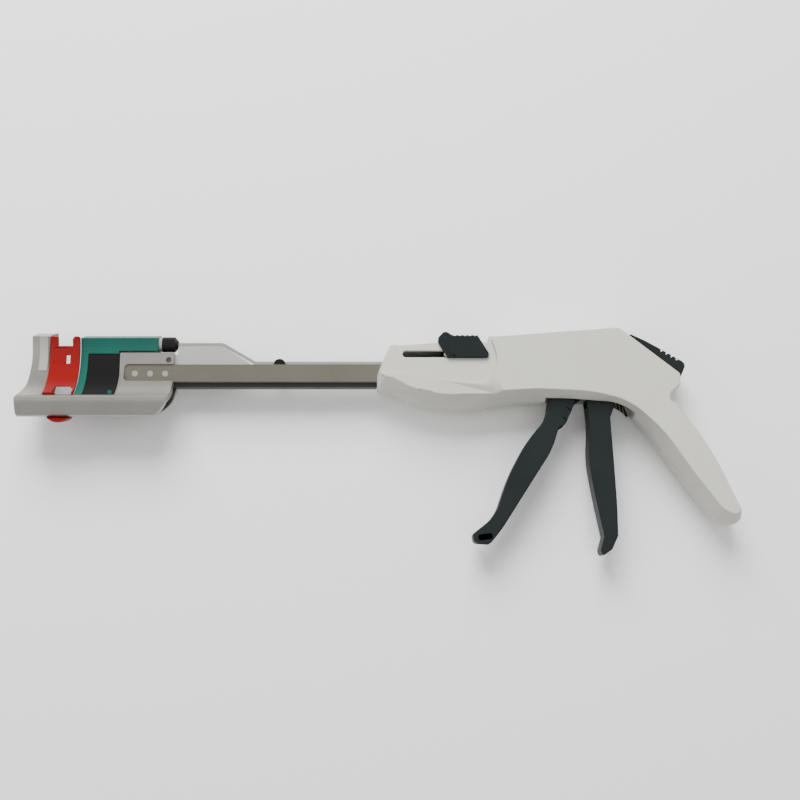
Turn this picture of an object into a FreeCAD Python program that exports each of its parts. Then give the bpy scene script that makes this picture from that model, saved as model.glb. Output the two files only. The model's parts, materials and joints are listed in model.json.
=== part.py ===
"""Curved cutter stapler, lying on its far side.

+X runs from the jaws to the grip, +Y from the grip to the top of the handle and +Z from the
side that it lies on to the side that faces the viewer. The origin is on the far casing's flat
side, on the shaft's axis, above the trigger axle. Sizes are in millimetres.
"""
import math
import os

import FreeCAD
import Part

os.makedirs("parts", exist_ok=True)

# Casing: thickness, wall and main places along X
half_thick = 15.0            # mid-plane to each flat side
nose_half_thick = 12.9       # the same at the narrower nose
skirt_half = 5.0             # straight band each side of the parting line
wall = 2.4
nose_x = -124.0              # front of the nose
heel_x = 76.5                # end of the grip

# Shaft: two plates with the closure channel, firing bar and push rod between them
plate_half_gap = 4.5
plate_thick = 1.5
plate_half_height = 4.9
plate_front_x = -264.4
plate_rear_x = -60.0
channel_half = 3.3
channel_wall = 1.0
channel_low_y = -7.6
channel_top_y = 4.4
bar_half = 1.9
bar_low_y = -6.2
bar_top_y = 3.9
rod_half = 1.2
rod_height = 1.5
rod_y = 6.8
slide_gap = 0.3              # running gap between sliding pieces
fit_gap = 0.03               # radial gap of pins in their holes

# Curved head: a band about an axis that is parallel to X
head_y = 10.6
head_z = 34.8
head_inner_r = 30.0
head_outer_r = 42.0
head_top_deg = -20.0
head_low_deg = 62.5
rail_deg = 56.0
anvil_front_x = -316.5
anvil_face_x = -306.5
rail_front_x = -321.2
block_front_x = -267.0
block_rear_x = -237.0
block_top_deg = -2.5
block_pad_z = 6.7
jaw_gap = 17.0
closed_gap = 1.5
head_mid_r = (head_inner_r + head_outer_r) / 2
face_x = anvil_face_x + jaw_gap
close_travel = jaw_gap - closed_gap

# Retaining pin and saddle slide
pin_y = 17.5
pin_z = head_z - math.sqrt(head_mid_r**2 - (pin_y - head_y) ** 2)
pin_r = 1.8
tube_r = 4.3
pin_travel = 21.0
crossbar_x = -85.0
crossbar_y = 9.4
crossbar_r = 1.6

# Triggers
axle_x = 0.0
axle_y = -8.0
axle_r = 2.5
close_deg = 27.0
fire_deg = 22.0
fire_travel = 6.0
trigger_half = 7.5
ear_half = 5.2               # inner face of the closure trigger's ears
ear_thick = 1.8
closure_pin_r = 2.0
closure_pin_x = close_travel / 2
closure_pin_y = 16.0

V = FreeCAD.Vector
SOFT = -0.47                 # a corner rounded as widely as its shorter edge allows


def save(name, shape):
    """Write one node, lifted so that the far side lies on the ground plane."""
    placed = shape.copy()
    placed.translate(V(0, 0, half_thick))
    placed.exportStep("parts/" + name + ".step")
    print(name, len(placed.Solids), round(placed.Volume, 1), placed.isValid())


def rounded(points, z=0.0):
    """A closed wire through (x, y) corners; a third value rounds that corner with an arc.

    The value is the arc's radius, or SOFT for an arc that starts near the middle of the
    shorter edge beside the corner.
    """
    edges = []
    count = len(points)
    starts = []
    ends = []
    arcs = []
    for i in range(count):
        here = V(points[i][0], points[i][1], z)
        radius = points[i][2] if len(points[i]) > 2 else 0.0
        before = V(points[i - 1][0], points[i - 1][1], z)
        after = V(points[(i + 1) % count][0], points[(i + 1) % count][1], z)
        back = V(before - here).normalize()
        ahead = V(after - here).normalize()
        turn = back.getAngle(ahead)
        if radius < 0.0:
            shorter = min((before - here).Length, (after - here).Length)
            radius = -radius * shorter * math.tan(turn / 2)
        if radius == 0.0:
            starts.append(here)
            ends.append(here)
            arcs.append(None)
            continue
        reach = radius / math.tan(turn / 2)
        first = here + back * reach
        last = here + ahead * reach
        middle = (back + ahead).normalize()
        centre = here + middle * (radius / math.sin(turn / 2))
        top = centre - middle * radius
        starts.append(first)
        ends.append(last)
        arcs.append(Part.Arc(first, top, last).toShape())
    for i in range(count):
        if arcs[i] is not None:
            edges.append(arcs[i])
        follow = starts[(i + 1) % count]
        if (follow - ends[i]).Length > 1e-4:
            edges.append(Part.LineSegment(ends[i], follow).toShape())
    return Part.Wire(edges)


def prism(points, low, high):
    """A flat piece with the given rounded outline between two heights."""
    return Part.Face(rounded(points, low)).extrude(V(0, 0, high - low))


def box(x0, x1, y0, y1, z0, z1):
    """A block between two corners."""
    return Part.makeBox(x1 - x0, y1 - y0, z1 - z0, V(x0, y0, z0))


def post(x, y, radius, z0, z1):
    """A round post along Z."""
    return Part.makeCylinder(radius, z1 - z0, V(x, y, z0), V(0, 0, 1))


def round_bar(x0, x1, y, z, radius):
    """A round bar along X."""
    return Part.makeCylinder(radius, x1 - x0, V(x0, y, z), V(1, 0, 0))


def band(inner, outer, top_deg, low_deg, x0, x1):
    """Part of the head's curved band; degrees count from straight back down towards the grip."""
    ring = Part.makeCylinder(outer, x1 - x0, V(x0, head_y, head_z), V(1, 0, 0))
    ring = ring.cut(Part.makeCylinder(inner, x1 - x0, V(x0, head_y, head_z), V(1, 0, 0)))
    reach = outer * 3
    corners = [V(x0, head_y, head_z)]
    for part in (0.0, 0.5, 1.0):
        angle = math.radians(top_deg + (low_deg - top_deg) * part)
        corners.append(V(x0, head_y - reach * math.sin(angle), head_z - reach * math.cos(angle)))
    corners.append(corners[0])
    wedge = Part.Face(Part.makePolygon(corners)).extrude(V(x1 - x0, 0, 0))
    return ring.common(wedge)


def fuse(shapes):
    """Join touching bodies of one piece into one solid."""
    joined = shapes[0]
    if len(shapes) > 1:
        joined = shapes[0].multiFuse(shapes[1:])
    return joined.removeSplitter()


def slot(x0, x1, y, radius, z0, z1):
    """A round-ended slot along X, cut through between two heights."""
    middle = box(x0, x1, y - radius, y + radius, z0, z1)
    return fuse([middle, post(x0, y, radius, z0, z1), post(x1, y, radius, z0, z1)])


# Frame: anvil arm, rail and rear block in one casting
frame_side = [
    (rail_front_x, -40.0),
    (rail_front_x, -16.0, 4.0),
    (anvil_front_x - 0.8, -8.0, 14.0),
    (anvil_front_x, 6.0, 30.0),
    (anvil_front_x, 30.0),
    (block_rear_x, 30.0),
    (block_rear_x, -27.5, 17.0),
    (block_rear_x - 22.0, -27.5, 6.0),
    (block_rear_x - 22.0, -40.0),
]
rivet_x = [-258.6, -250.1, -241.7]
rivet_y = -0.3
rivet_r = 1.7
plate_outer = plate_half_gap + plate_thick
cavity_inner_r = 34.7
cavity_outer_r = 40.8
cavity_top_deg = 23.0
passage_half = channel_half + slide_gap
washer_inner_deg = -17.0
washer_low_deg = 54.0
anvil_thick = 1.2
insert_deep = 4.8
knife_r = head_mid_r
knife_half = 0.4
knife_slot_half = 0.7
knife_top_deg = -3.0
knife_low_deg = 50.0
knife_slot_deep = 4.4
pin_seat_deep = 5.0

front_wall = 4.2
core_x = face_x + front_wall
core_rear_x = block_front_x + 1.4
tube_rear_x = -246.4
seam_x = -244.6
cap_rear_x = -237.6
cart_inner_r = 30.6
cart_outer_r = 41.3
cart_low_deg = 53.3
shelf_deg = -1.5
tube_low_deg = -4.4

arm = band(head_inner_r, head_outer_r, head_top_deg, head_low_deg, rail_front_x, anvil_face_x)
rail = band(head_inner_r, head_outer_r, rail_deg, head_low_deg, rail_front_x, block_front_x)
block = band(head_inner_r, head_outer_r, block_top_deg, head_low_deg, block_front_x, block_rear_x)
pad_half_y = plate_half_height + 1.2
pad_top_y = 11.3
far_pad_low_y = channel_low_y - 2.2
pad = box(block_front_x, block_rear_x, -pad_half_y, pad_top_y, 0, block_pad_z)
far_pad = box(block_front_x, block_rear_x, far_pad_low_y, pad_top_y, -block_pad_z, 0)
frame_body = fuse([arm, rail, block, pad, far_pad])
frame_body = frame_body.common(prism(frame_side, -20.0, 40.0))
passage = box(block_front_x - 1, block_rear_x + 1, channel_low_y - 0.5, pad_top_y + 3,
              -passage_half, passage_half)
frame_body = frame_body.cut(passage)
frame_body = frame_body.cut(band(cavity_inner_r, cavity_outer_r, cavity_top_deg, rail_deg,
                                 block_front_x - 1, block_rear_x + 1))
plate_outline = [
    (plate_front_x, -plate_half_height, 2.4),
    (plate_rear_x, -plate_half_height),
    (plate_rear_x, plate_half_height),
    (plate_front_x, plate_half_height, 2.4),
]
pocket = prism(plate_outline, plate_half_gap, block_pad_z + 9)
pocket_far = prism(plate_outline, -block_pad_z - 9, -plate_half_gap)
frame_body = frame_body.cut(pocket).cut(pocket_far)
for x in rivet_x:
    frame_body = frame_body.cut(post(x, rivet_y, rivet_r + fit_gap, -9, 9))
gauge_hole = post(block_rear_x - 2.8, 7.3, 1.5, 0, block_pad_z + 1)
frame_body = frame_body.cut(gauge_hole)
core_nest = band(cart_inner_r, cart_outer_r, shelf_deg, cart_low_deg + 0.4, block_front_x - 1,
                 core_rear_x + 0.2)
frame_body = frame_body.cut(core_nest)

washer_seat = band(31.2, 40.8, washer_inner_deg, washer_low_deg,
                   anvil_face_x - anvil_thick, anvil_face_x)
insert_seat = band(29.0, 33.0, head_top_deg - 1, 18.0,
                   anvil_face_x - anvil_thick - insert_deep, anvil_face_x - anvil_thick)
knife_slot = band(knife_r - knife_slot_half, knife_r + knife_slot_half, knife_top_deg - 2,
                  knife_low_deg + 2, anvil_face_x - knife_slot_deep, anvil_face_x + 1)
pin_seat = round_bar(anvil_face_x - pin_seat_deep, anvil_face_x + 1, pin_y, pin_z, pin_r + 0.2)
frame_body = frame_body.cut(washer_seat).cut(insert_seat).cut(knife_slot).cut(pin_seat)
save("c_frame", frame_body)

anvil_plate = washer_seat.cut(knife_slot).cut(pin_seat)
save("anvil_plate", anvil_plate)
anvil_insert = band(head_inner_r - 0.2, 33.0, head_top_deg, 18.0,
                    anvil_face_x - anvil_thick - insert_deep, anvil_face_x - anvil_thick)
save("anvil_insert", anvil_insert.cut(pin_seat))

# Cartridge: green housing with its tube, black core behind it
tube_bore = round_bar(face_x - 1, cap_rear_x + 5, pin_y, pin_z, pin_r + 0.2)
face_plate = band(cart_inner_r, cart_outer_r, -18.0, cart_low_deg, face_x, core_x)
shelf = band(cart_inner_r, cart_outer_r, -18.0, shelf_deg, core_x, block_front_x - 1.2)
tail = band(cart_inner_r, cart_outer_r, -18.0, tube_low_deg, block_front_x - 1.2, tube_rear_x)
tube = round_bar(face_x, tube_rear_x, pin_y, pin_z, tube_r)
housing = fuse([face_plate, shelf, tail, tube])
housing = housing.cut(tube_bore)
housing = housing.cut(band(knife_r - knife_slot_half, knife_r + knife_slot_half,
                           knife_top_deg - 2, knife_low_deg + 2, face_x - 1, core_x + 1))
staple_deg = 5.0
staple_rows = [knife_r - 2.9, knife_r - 1.6, knife_r + 1.6, knife_r + 2.9]
staple_count = 9
for row, radius in enumerate(staple_rows):
    offset = 2.5 * (row % 2)
    for i in range(staple_count):
        start = knife_top_deg + 0.5 + offset + i * staple_deg * 1.1
        housing = housing.cut(band(radius - 0.35, radius + 0.35, start, start + 4.0,
                                   face_x - 1, face_x + 1.2))
save("cartridge_housing", housing)

core_top_deg = shelf_deg + 0.3
core = band(cart_inner_r + 0.3, cart_outer_r - 0.3, core_top_deg, cart_low_deg, core_x,
            core_rear_x)
core_tail = band(cavity_inner_r + slide_gap, cavity_outer_r - slide_gap, cavity_top_deg + 1,
                 cart_low_deg, core_rear_x, block_rear_x - 6)
core = fuse([core, core_tail])
core_front_hollow_x = core_rear_x - 3.4
core = core.cut(band(knife_r - 3.9, knife_r + 3.9, 1.5, knife_low_deg + 2, core_x - 1,
                     core_front_hollow_x))
channel_front_x = core_rear_x - 2.6
core = core.cut(box(channel_front_x, block_rear_x, channel_low_y, 11.1, -channel_half,
                    channel_half))
core = core.cut(box(core_x, core_rear_x + 1, bar_low_y - 0.3, bar_top_y + 0.3, -bar_half - 0.3,
                    bar_half + 0.3))
lock_y = -12.3
lock_x = -270.4
lock_r = 1.3
core = core.cut(post(lock_x, lock_y, lock_r + fit_gap, 12.0, 16.0))
save("cartridge_core", core)
save("lock_pin", post(lock_x, lock_y, lock_r, 13.3, 14.4))

seam = round_bar(tube_rear_x, seam_x, pin_y, pin_z, tube_r - 0.3).cut(tube_bore)
save("seam_ring", seam)
cap = round_bar(seam_x, cap_rear_x, pin_y, pin_z, tube_r)
dome_len = 1.9
cap_nose = Part.makeCone(tube_r, tube_r - 2.4, dome_len, V(cap_rear_x, pin_y, pin_z), V(1, 0, 0))
save("pin_end_cap", fuse([cap, cap_nose]).cut(tube_bore))

# Staple driver, knife and firing bar: they slide forward inside the core
driver_rear_x = core_front_hollow_x - 0.6
driver_front_x = driver_rear_x - 5.0
driver = band(knife_r - 3.6, knife_r + 3.6, 3.0, knife_low_deg + 0.8, driver_front_x,
              driver_rear_x)
save("staple_driver", driver)
knife_tip_x = face_x + 0.8
knife = band(knife_r - knife_half, knife_r + knife_half, knife_top_deg + 6.5, knife_low_deg,
             knife_tip_x, driver_front_x)
knife_edge = band(knife_r + 0.05, knife_r + 2, -30, 80, knife_tip_x - 1, knife_tip_x + 1.0)
knife = knife.cut(knife_edge)
save("knife", knife)

bar_rear_x = 1.0
rivet_slot_gap = 0.5


def plate_slots(first_x, last_x, travel, half):
    """The long slot that lets a sliding plate pass fixed cross pins, along the whole travel."""
    radius = rivet_r + rivet_slot_gap
    return slot(first_x - 0.2, last_x + travel + 0.2, rivet_y, radius, -half, half)


cross_pin_x = [-108.0, -66.0]
bar_travel = close_travel + fire_travel
bar_tail_y0 = 5.0
bar_tail_y1 = 10.0
bar_outline = [
    (driver_rear_x, bar_low_y),
    (-30.0, bar_low_y, 3.0),
    (-24.0, bar_tail_y0, 3.0),
    (bar_rear_x, bar_tail_y0),
    (bar_rear_x, bar_tail_y1, 1.5),
    (-32.0, bar_tail_y1, 4.0),
    (-38.0, bar_top_y, 4.0),
    (driver_rear_x, bar_top_y),
]
bar = prism(bar_outline, -bar_half, bar_half)
bar = bar.cut(plate_slots(rivet_x[0], rivet_x[-1], bar_travel, 9))
for x in cross_pin_x:
    bar = bar.cut(plate_slots(x, x, bar_travel, 9))
save("firing_bar", bar)

# Shaft: handle plates, rivets, rear cross pins, guide clip and closure channel
for name, low in (("near_handle_plate", plate_half_gap), ("far_handle_plate", -plate_outer)):
    plate = prism(plate_outline, low, low + plate_thick)
    for x in rivet_x + cross_pin_x:
        plate = plate.cut(post(x, rivet_y, rivet_r + fit_gap, low - 1, low + plate_thick + 1))
    save(name, plate)
rivets = [post(x, rivet_y, rivet_r, -plate_outer - 0.15, plate_outer + 0.15) for x in rivet_x]
save("frame_rivets", Part.makeCompound(rivets))

core_half = 9.6              # half depth of the casing's inner chamber at the shaft
cross_pins = [post(x, rivet_y, rivet_r, -core_half, core_half) for x in cross_pin_x]
save("plate_cross_pins", Part.makeCompound(cross_pins))

clip_x = -178.1
clip_r = 3.2
clip = prism([(clip_x - clip_r, plate_half_height), (clip_x + clip_r, plate_half_height),
              (clip_x + clip_r, plate_half_height + clip_r, clip_r * 0.95),
              (clip_x - clip_r, plate_half_height + clip_r, clip_r * 0.95)],
             -plate_outer, plate_outer)
rod_low = rod_y - rod_height / 2
rod_tunnel = box(clip_x - 5, clip_x + 5, plate_half_height - 1, rod_y + rod_height / 2 + slide_gap,
                 pin_z - rod_half - slide_gap, pin_z + rod_half + slide_gap)
save("rod_guide_clip", clip.cut(rod_tunnel))

horn_top_y = 15.9
horn_front_x = cap_rear_x + dome_len + 0.4
horn_rear_x = -210.6
horn_foot_x = -192.3
tail_x0 = -24.0
tail_low_y = -4.5
tail_x1 = closure_pin_x + 4.5
tail_top_y = closure_pin_y + 3.2
channel_outline = [
    (channel_front_x, channel_low_y),
    (tail_x0, channel_low_y, 3.0),
    (tail_x0, tail_low_y, 2.0),
    (tail_x1, tail_low_y, 3.0),
    (tail_x1, tail_top_y, 3.5),
    (closure_pin_x - 4.5, tail_top_y, 3.5),
    (-30.0, channel_top_y, 6.0),
    (horn_foot_x, channel_top_y, 6.0),
    (horn_rear_x, horn_top_y, 5.0),
    (horn_front_x, horn_top_y, 1.0),
    (horn_front_x, 11.0, 0.5),
    (channel_front_x, 11.0, 1.0),
]
channel = prism(channel_outline, -channel_half, channel_half)
channel_inner = channel_half - channel_wall
hollow = box(channel_front_x - 1, tail_x1 + 1, channel_low_y + channel_wall, tail_top_y + 1,
             -channel_inner, channel_inner)
channel = channel.cut(hollow)
channel = channel.cut(plate_slots(rivet_x[0], rivet_x[-1], close_travel, 9))
for x in cross_pin_x:
    channel = channel.cut(plate_slots(x, x, close_travel, 9))
channel = channel.cut(post(closure_pin_x, closure_pin_y, closure_pin_r + fit_gap, -9, 9))
save("closure_channel", channel)
closure_pin_half = ear_half + ear_thick + 0.6
save("closure_pin", post(closure_pin_x, closure_pin_y, closure_pin_r, -closure_pin_half,
                         closure_pin_half))

# Retaining pin, push rod and the slide that drives them
tip_len = 2.4
pin_front_x = face_x + 1.0
pin_rear_x = cap_rear_x - 6.0
pin_body = round_bar(pin_front_x + tip_len, pin_rear_x, pin_y, pin_z, pin_r)
pin_tip = Part.makeCone(pin_r * 0.3, pin_r, tip_len, V(pin_front_x, pin_y, pin_z), V(1, 0, 0))
save("retaining_pin", fuse([pin_body, pin_tip]))

coupler_x0 = crossbar_x - 4.0
coupler_x1 = crossbar_x + 4.0
rod_top_y = pin_y
rod_outline = [
    (pin_rear_x, rod_top_y - rod_height / 2),
    (horn_rear_x - 0.5, rod_top_y - rod_height / 2, 4.0),
    (horn_foot_x - 0.5, rod_low, 4.0),
    (coupler_x0, rod_low),
    (coupler_x0, rod_low + rod_height),
    (horn_foot_x + 0.3, rod_low + rod_height, 5.5),
    (horn_rear_x + 0.3, rod_top_y + rod_height / 2, 5.5),
    (pin_rear_x, rod_top_y + rod_height / 2),
]
save("push_rod", prism(rod_outline, pin_z - rod_half, pin_z + rod_half))
coupler = prism([(coupler_x0, 5.6, 1.0), (coupler_x1, 5.6, 1.0), (coupler_x1, 11.9, 2.0),
                 (coupler_x0, 11.9, 2.0)], -3.2, 3.2)
coupler = coupler.cut(post(crossbar_x, crossbar_y, crossbar_r + fit_gap, -9, 9))
save("rod_coupler", coupler)
leg_gap = 0.4
crossbar_half = nose_half_thick + leg_gap + 1.0
save("saddle_crossbar", post(crossbar_x, crossbar_y, crossbar_r, -crossbar_half, crossbar_half))

track_front_y = 15.2
track_y = 17.1
saddle_half = 15.3
saddle_low_y = 7.0
saddle_top_y = 19.8
lip_y = 21.6
saddle_front_x = crossbar_x - 4.8
saddle_rear_x = -61.7
saddle_outline = [
    (-84.6, saddle_low_y, 1.5),
    (saddle_rear_x - 0.6, saddle_low_y, 1.5),
    (saddle_rear_x, 9.4, 1.5),
    (-68.0, saddle_top_y, 1.5),
    (-82.0, saddle_top_y, 1.0),
    (-84.8, lip_y, 1.0),
    (-86.8, lip_y, 1.0),
    (saddle_front_x, saddle_top_y - 1.4, 0.8),
    (saddle_front_x, 15.6, 1.0),
    (-86.4, 9.8, 1.5),
]
saddle = prism(saddle_outline, -saddle_half, saddle_half)
side_edges = [e for e in saddle.Edges
              if abs(abs(e.BoundBox.ZMin) - saddle_half) < 0.01 and e.BoundBox.ZLength < 0.01]
saddle = saddle.makeFillet(0.9, side_edges)
saddle = saddle.cut(box(-130, -50, -5, track_y + leg_gap, -nose_half_thick - leg_gap,
                        nose_half_thick + leg_gap))
saddle = saddle.cut(post(crossbar_x, crossbar_y, crossbar_r + fit_gap, -crossbar_half,
                         crossbar_half))
ridge_pitch = 2.8
for i in range(5):
    groove_x = -80.6 + i * ridge_pitch
    saddle = saddle.cut(box(groove_x - 0.6, groove_x + 0.6, saddle_top_y - 0.6, lip_y + 2,
                            -saddle_half - 1, saddle_half + 1))
save("saddle_slide", saddle)

# Casing halves: skirt at the parting line, then facets up to the flat side
parting_line = [
    (-116.6, 15.9, 1.0),
    (-113.0, 15.9, 0.6),
    (-112.6, track_front_y, 0.5),
    (-90.0, track_y, SOFT),
    (-60.4, track_y, 1.0),
    (-59.6, 20.3, 1.5),
    (11.0, 25.6, 6.0),
    (45.2, -1.4, 3.0),
    (45.2, -7.5, 3.0),
    (37.6, -14.0, 4.5),
    (50.5, -27.0, SOFT),
    (62.6, -46.4, SOFT),
    (heel_x, -80.0, 3.0),
    (72.0, -84.6, SOFT),
    (62.5, -82.0, SOFT),
    (41.6, -54.0, SOFT),
    (27.0, -33.0, SOFT),
    (13.0, -17.8, SOFT),
    (-20.0, -16.2, SOFT),
    (-48.0, -16.6, SOFT),
    (-78.0, -21.4, SOFT),
    (-106.0, -16.4, SOFT),
    (-114.5, -10.9, 4.0),
    (-121.5, -10.6, 1.5),
    (nose_x - 0.3, -9.0, 1.5),
    (nose_x, -1.0, SOFT),
    (-120.6, 7.0, SOFT),
]
side_line = [
    (-115.4, 14.3, 0.8),
    (-112.8, 14.3, 0.5),
    (-112.0, 13.8, 0.5),
    (-90.0, 15.6, SOFT),
    (-61.4, 15.8, 1.0),
    (-58.8, 18.9, 1.5),
    (10.2, 24.0, 5.5),
    (43.2, -1.9, 2.6),
    (43.0, -7.8, 2.6),
    (35.2, -14.2, 4.2),
    (47.6, -27.6, SOFT),
    (60.4, -47.2, SOFT),
    (74.0, -77.4, 1.6),
    (70.5, -79.4, SOFT),
    (64.2, -76.8, SOFT),
    (46.4, -53.0, SOFT),
    (34.6, -34.6, SOFT),
    (16.0, -17.2, SOFT),
    (-4.0, -11.6, SOFT),
    (-44.0, -9.6, SOFT),
    (-62.0, -9.4, SOFT),
    (-88.0, -11.6, SOFT),
    (-104.5, -9.2, SOFT),
    (-114.8, -4.0, 2.0),
    (-118.4, -3.4, 1.5),
    (-121.6, -0.9, SOFT),
    (-118.6, 6.4, SOFT),
]
cavity_gap = 5.5
opening_x0 = -30.2
opening_x1 = 19.0
opening_half = trigger_half + 0.9


def shell_half(side):
    """One half of the casing, on the viewer's side (1) or the side that it lies on (-1)."""
    wires = [rounded(parting_line, 0.0), rounded(parting_line, side * skirt_half),
             rounded(side_line, side * half_thick)]
    return Part.makeLoft(wires, True, True)


def inner_chamber():
    """The room for the mechanism: a deep middle and a wider part behind the flat sides."""
    middle = Part.Face(rounded(parting_line, -opening_half)).makeOffset2D(-cavity_gap)
    middle = middle.extrude(V(0, 0, 2 * opening_half))
    limits = box(nose_x - 5, 34.0, -40.0, 30.0, -20, 20)
    wide = Part.Face(rounded(side_line, -core_half)).makeOffset2D(-wall)
    wide = wide.extrude(V(0, 0, 2 * core_half))
    rod_room = box(crossbar_x - pin_travel - 6.0, crossbar_x + 6.0, 4.0, 12.5, -4.0, 4.0)
    return fuse([middle, wide, rod_room]).common(limits)


chamber = inner_chamber()
nose_hole = prism([(nose_x - 5, channel_low_y - 0.8, 1.5), (nose_x + 20, channel_low_y - 0.8),
                   (nose_x + 20, rod_y + 1.6), (nose_x - 5, rod_y + 1.6, 1.5)],
                  -plate_outer - 0.02, plate_outer + 0.02)
trigger_hole = prism([(opening_x0, -22.0), (opening_x1, -30.0), (opening_x1, -13.0, 3.0),
                      (opening_x0 + 4, -5.0, 3.0), (opening_x0, -9.0, 2.0)],
                     -opening_half, opening_half)
button_half = 7.0
button_hole = prism([(14.5, 30.0), (14.5, 15.5, 2.0), (30.0, 2.0, 2.0), (44.0, -8.6),
                     (52.0, -2.0), (30.0, 30.0)], -button_half - 0.3, button_half + 0.3)
rail_slot = slot(crossbar_x - pin_travel - 1.6, crossbar_x + 0.4, crossbar_y, crossbar_r + 0.3,
                 -half_thick - 1, half_thick + 1)
nose_step_line = [
    (-135.0, -1.6),
    (-104.0, -2.0, SOFT),
    (-78.0, -4.8, SOFT),
    (-61.0, -4.8, SOFT),
    (-56.6, 6.0, SOFT),
    (-59.4, 15.0, SOFT),
    (-64.0, 30.0),
    (-135.0, 30.0),
]
nose_steps = [prism(nose_step_line, nose_half_thick, half_thick + 2),
              prism(nose_step_line, -half_thick - 2, -nose_half_thick)]

# Lug that the return spring pushes against, and the button's pin
spring_x0 = -58.0
spring_x1 = -40.0
spring_y = 8.0
spring_r = 1.7
spring_wire = 0.5
button_pin_x = 19.6
button_pin_y = 18.8
button_pin_r = 1.2
button_pin_half = button_half + 2.0

# Screws from the far side, each in a boss that bridges the parting line
screw_places = [(-50.0, 15.2), (-96.0, -12.6), (26.5, -5.5), (39.5, -20.0), (62.0, -66.0)]
screw_r = 1.5
boss_r = 3.4
head_r = 2.6
head_deep = 6.0
halves = []
for side in (1, -1):
    half = shell_half(side)
    half = half.cut(chamber)
    bosses = [post(x, y, boss_r, 0, side * (core_half + 1.5)) if side > 0 else
              post(x, y, boss_r, -core_half - 1.5, 0) for x, y in screw_places]
    axle_boss = (post(axle_x, axle_y, 5.0, ear_half + ear_thick + 0.5, core_half + 2.0)
                 if side > 0 else
                 post(axle_x, axle_y, 5.0, -core_half - 2.0, -ear_half - ear_thick - 0.5))
    pin_bosses = [post(x, rivet_y, 3.2, plate_outer + 0.02, core_half + 1.5) if side > 0 else
                  post(x, rivet_y, 3.2, -core_half - 1.5, -plate_outer - 0.02)
                  for x in cross_pin_x]
    lug_z = sorted((0.0, side * (core_half + 1.0)))
    lug = box(spring_x0 - 3.4, spring_x0 - 0.3, plate_half_height + 0.5, spring_y + 12.0,
              lug_z[0], lug_z[1])
    half = fuse([half] + bosses + [axle_boss, lug] + pin_bosses)
    for cutter in [nose_hole, trigger_hole, button_hole, rail_slot] + nose_steps:
        half = half.cut(cutter)
    for x, y in screw_places:
        if side > 0:
            half = half.cut(post(x, y, screw_r * 0.8, -1, core_half))
        else:
            half = half.cut(post(x, y, screw_r + 0.1, -half_thick - 1, 1))
            half = half.cut(post(x, y, head_r + 0.1, -half_thick - 1, -half_thick + head_deep))
    half = half.cut(post(axle_x, axle_y, axle_r + fit_gap, -core_half - 0.6, core_half + 0.6))
    half = half.cut(post(button_pin_x, button_pin_y, button_pin_r + fit_gap, -button_pin_half,
                         button_pin_half))
    for x in cross_pin_x:
        half = half.cut(post(x, rivet_y, rivet_r + fit_gap, -core_half, core_half))
    halves.append(half)
save("near_casing_shell", halves[0])
save("far_casing_shell", halves[1])

# Triggers: two U-channels on one axle, each with its front web and two side walls
trigger_wall = 1.6
hub_r = 5.0
firing_hub_half = bar_half
firing_outline = [
    (-28.2, -14.6, 2.0),
    (-29.4, -25.0, SOFT),
    (-41.0, -38.4, SOFT),
    (-51.6, -58.0, SOFT),
    (-58.0, -76.6, SOFT),
    (-62.0, -82.0, SOFT),
    (-71.4, -89.4, 2.0),
    (-70.6, -94.0, 2.0),
    (-61.6, -94.6, 2.4),
    (-55.0, -86.5, SOFT),
    (-40.0, -63.0, SOFT),
    (-27.0, -43.0, SOFT),
    (-23.2, -31.0, 2.0),
    (-19.4, -28.8, 2.0),
    (-13.4, -15.6, 2.0),
    (-16.6, -12.8, 2.0),
]
closure_outline = [
    (-7.6, -14.2, 1.5),
    (-6.0, -30.0, SOFT),
    (-7.4, -48.0, SOFT),
    (-3.8, -70.0, SOFT),
    (0.4, -90.6, 2.0),
    (-1.8, -97.8, 1.5),
    (-0.8, -101.6, 1.4),
    (4.6, -97.6, 1.0),
    (8.0, -90.4, 1.2),
    (8.0, -74.0, SOFT),
    (6.6, -46.0, SOFT),
    (5.4, -25.0, 2.0),
    (8.4, -17.4, 1.2),
    (8.0, -14.2, 1.5),
]


def channel_lever(outline, back_shift, low_y):
    """A lever that is a U-channel: its outline, hollowed from the back and open at the tip."""
    body = prism(outline, -trigger_half, trigger_half)
    rims = [e for e in body.Edges
            if abs(abs(e.BoundBox.ZMin) - trigger_half) < 0.01 and e.BoundBox.ZLength < 0.01]
    body = body.makeFillet(0.8, rims)
    inner = prism(outline, -trigger_half + trigger_wall, trigger_half - trigger_wall)
    inner.translate(V(*back_shift))
    keep = box(-100, 60, low_y, 0.0, -20, 20)
    return body, inner.common(keep)


# Closure trigger: ears beside the channel's tail, each with a fork for the closure pin
closure_body, closure_hollow = channel_lever(closure_outline, (2.0, -1.0, 0), -110.0)
closure_body = closure_body.cut(closure_hollow)
closure_body = closure_body.cut(box(-12, 12, -19.0, 0, -ear_half, ear_half))
fork_r = closure_pin_y - axle_y
fork_top_r = fork_r + 4.2
ear_outline = [
    (-hub_r, axle_y, 3.0),
    (-hub_r - 1.6, -17.0),
    (7.4, -17.0),
    (hub_r, axle_y, 3.0),
    (closure_pin_x + 4.8, closure_pin_y - 3.0, 2.0),
    (closure_pin_x + 3.8, axle_y + fork_top_r - 2.7, 1.5),
    (closure_pin_x - 8.4, axle_y + fork_top_r, 2.5),
]
fork_points = []
for step in range(7):
    turn = math.radians(close_deg) * step / 6
    pin_x = closure_pin_x - close_travel * step / 6 - axle_x
    pin_up = closure_pin_y - axle_y
    fork_points.append((pin_x * math.cos(turn) + pin_up * math.sin(turn) + axle_x,
                        -pin_x * math.sin(turn) + pin_up * math.cos(turn) + axle_y))
fork_clear = closure_pin_r + 0.25
closure_parts = [closure_body]
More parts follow.
